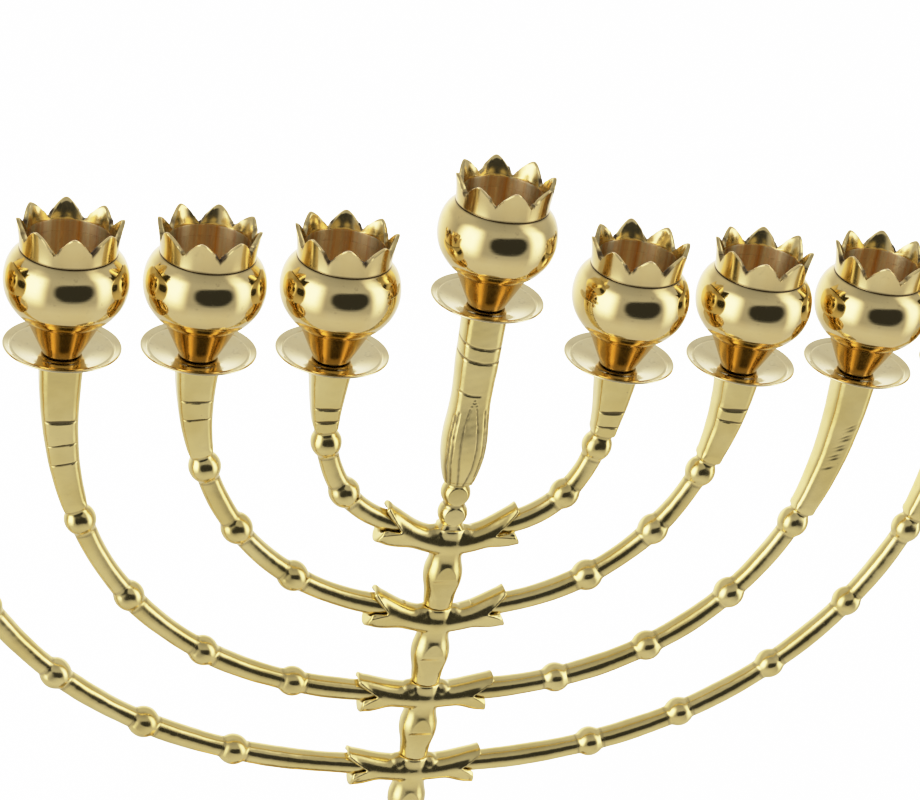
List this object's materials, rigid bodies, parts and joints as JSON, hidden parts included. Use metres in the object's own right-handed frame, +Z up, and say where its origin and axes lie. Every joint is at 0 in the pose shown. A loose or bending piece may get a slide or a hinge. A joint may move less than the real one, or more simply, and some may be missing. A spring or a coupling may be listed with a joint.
{
  "type": "nine-branched menorah",
  "caption": "Branched brass candelabrum on a round foot, with a raised middle cup and pomegranate candle cups that unscrew.",
  "frame": {"origin": "middle of the felt pad's underside, on the table", "axes": "+Z up, the arms along X, the front faces -Y"},
  "size_m": [0.3416, 0.13, 0.3556],
  "materials": {
    "turned_brass": "lathe-turned and polished",
    "cast_brass": "sand cast, hand filed and polished",
    "plated_steel": "zinc plated",
    "felt": "wool felt"
  },
  "bodies": {
    "frame": {"left_arm_1": "cast_brass", "left_arm_2": "cast_brass", "left_arm_3": "cast_brass", "left_arm_4": "cast_brass", "right_arm_1": "cast_brass", "right_arm_2": "cast_brass", "right_arm_3": "cast_brass", "right_arm_4": "cast_brass", "shamash_shaft": "cast_brass", "tier_1_casting": "cast_brass", "tier_2_casting": "cast_brass", "tier_3_casting": "cast_brass", "tier_4_casting": "cast_brass", "lower_shaft": "cast_brass", "base_knop": "cast_brass", "base_collar": "cast_brass", "base_foot": "cast_brass", "felt_pad": "felt", "tie_rod": "plated_steel", "tie_washer": "plated_steel", "tie_nut": "plated_steel"},
    "left_4_dish": {"left_4_drip_dish": "turned_brass"},
    "left_4_cup": {"left_4_pomegranate": "turned_brass", "left_4_crown": "turned_brass", "left_4_stud": "plated_steel"},
    "left_3_dish": {"left_3_drip_dish": "turned_brass"},
    "left_3_cup": {"left_3_pomegranate": "turned_brass", "left_3_crown": "turned_brass", "left_3_stud": "plated_steel"},
    "left_2_dish": {"left_2_drip_dish": "turned_brass"},
    "left_2_cup": {"left_2_pomegranate": "turned_brass", "left_2_crown": "turned_brass", "left_2_stud": "plated_steel"},
    "left_1_dish": {"left_1_drip_dish": "turned_brass"},
    "left_1_cup": {"left_1_pomegranate": "turned_brass", "left_1_crown": "turned_brass", "left_1_stud": "plated_steel"},
    "shamash_dish": {"shamash_drip_dish": "turned_brass"},
    "shamash_cup": {"shamash_pomegranate": "turned_brass", "shamash_crown": "turned_brass", "shamash_stud": "plated_steel"},
    "right_1_dish": {"right_1_drip_dish": "turned_brass"},
    "right_1_cup": {"right_1_pomegranate": "turned_brass", "right_1_crown": "turned_brass", "right_1_stud": "plated_steel"},
    "right_2_dish": {"right_2_drip_dish": "turned_brass"},
    "right_2_cup": {"right_2_pomegranate": "turned_brass", "right_2_crown": "turned_brass", "right_2_stud": "plated_steel"},
    "right_3_dish": {"right_3_drip_dish": "turned_brass"},
    "right_3_cup": {"right_3_pomegranate": "turned_brass", "right_3_crown": "turned_brass", "right_3_stud": "plated_steel"},
    "right_4_dish": {"right_4_drip_dish": "turned_brass"},
    "right_4_cup": {"right_4_pomegranate": "turned_brass", "right_4_crown": "turned_brass", "right_4_stud": "plated_steel"}
  },
  "joints": [
    {"name": "left_4_lift", "type": "slide", "parent": "frame", "child": "left_4_dish", "axis": [0, 0, 1], "range_m": [0, 0.006]},
    {"name": "left_4_unscrew", "type": "hinge", "parent": "left_4_dish", "child": "left_4_cup", "pos_m": [-0.154, 0, 0.3], "axis": [0, 0, 1], "range_deg": [0, 2700]},
    {"name": "left_3_lift", "type": "slide", "parent": "frame", "child": "left_3_dish", "axis": [0, 0, 1], "range_m": [0, 0.006]},
    {"name": "left_3_unscrew", "type": "hinge", "parent": "left_3_dish", "child": "left_3_cup", "pos_m": [-0.1166, 0, 0.3], "axis": [0, 0, 1], "range_deg": [0, 2700]},
    {"name": "left_2_lift", "type": "slide", "parent": "frame", "child": "left_2_dish", "axis": [0, 0, 1], "range_m": [0, 0.006]},
    {"name": "left_2_unscrew", "type": "hinge", "parent": "left_2_dish", "child": "left_2_cup", "pos_m": [-0.0795, 0, 0.3], "axis": [0, 0, 1], "range_deg": [0, 2700]},
    {"name": "left_1_lift", "type": "slide", "parent": "frame", "child": "left_1_dish", "axis": [0, 0, 1], "range_m": [0, 0.006]},
    {"name": "left_1_unscrew", "type": "hinge", "parent": "left_1_dish", "child": "left_1_cup", "pos_m": [-0.0421, 0, 0.3], "axis": [0, 0, 1], "range_deg": [0, 2700]},
    {"name": "shamash_lift", "type": "slide", "parent": "frame", "child": "shamash_dish", "axis": [0, 0, 1], "range_m": [0, 0.006]},
    {"name": "shamash_unscrew", "type": "hinge", "parent": "shamash_dish", "child": "shamash_cup", "pos_m": [0, 0, 0.318], "axis": [0, 0, 1], "range_deg": [0, 2700]},
    {"name": "right_1_lift", "type": "slide", "parent": "frame", "child": "right_1_dish", "axis": [0, 0, 1], "range_m": [0, 0.006]},
    {"name": "right_1_unscrew", "type": "hinge", "parent": "right_1_dish", "child": "right_1_cup", "pos_m": [0.0421, 0, 0.3], "axis": [0, 0, 1], "range_deg": [0, 2700]},
    {"name": "right_2_lift", "type": "slide", "parent": "frame", "child": "right_2_dish", "axis": [0, 0, 1], "range_m": [0, 0.006]},
    {"name": "right_2_unscrew", "type": "hinge", "parent": "right_2_dish", "child": "right_2_cup", "pos_m": [0.0795, 0, 0.3], "axis": [0, 0, 1], "range_deg": [0, 2700]},
    {"name": "right_3_lift", "type": "slide", "parent": "frame", "child": "right_3_dish", "axis": [0, 0, 1], "range_m": [0, 0.006]},
    {"name": "right_3_unscrew", "type": "hinge", "parent": "right_3_dish", "child": "right_3_cup", "pos_m": [0.1166, 0, 0.3], "axis": [0, 0, 1], "range_deg": [0, 2700]},
    {"name": "right_4_lift", "type": "slide", "parent": "frame", "child": "right_4_dish", "axis": [0, 0, 1], "range_m": [0, 0.006]},
    {"name": "right_4_unscrew", "type": "hinge", "parent": "right_4_dish", "child": "right_4_cup", "pos_m": [0.154, 0, 0.3], "axis": [0, 0, 1], "range_deg": [0, 2700]}
  ],
  "couplings": [
    {"joint": "left_4_lift", "follows": "left_4_unscrew", "m_per_rad": 0.00012732},
    {"joint": "left_3_lift", "follows": "left_3_unscrew", "m_per_rad": 0.00012732},
    {"joint": "left_2_lift", "follows": "left_2_unscrew", "m_per_rad": 0.00012732},
    {"joint": "left_1_lift", "follows": "left_1_unscrew", "m_per_rad": 0.00012732},
    {"joint": "shamash_lift", "follows": "shamash_unscrew", "m_per_rad": 0.00012732},
    {"joint": "right_1_lift", "follows": "right_1_unscrew", "m_per_rad": 0.00012732},
    {"joint": "right_2_lift", "follows": "right_2_unscrew", "m_per_rad": 0.00012732},
    {"joint": "right_3_lift", "follows": "right_3_unscrew", "m_per_rad": 0.00012732},
    {"joint": "right_4_lift", "follows": "right_4_unscrew", "m_per_rad": 0.00012732}
  ]
}
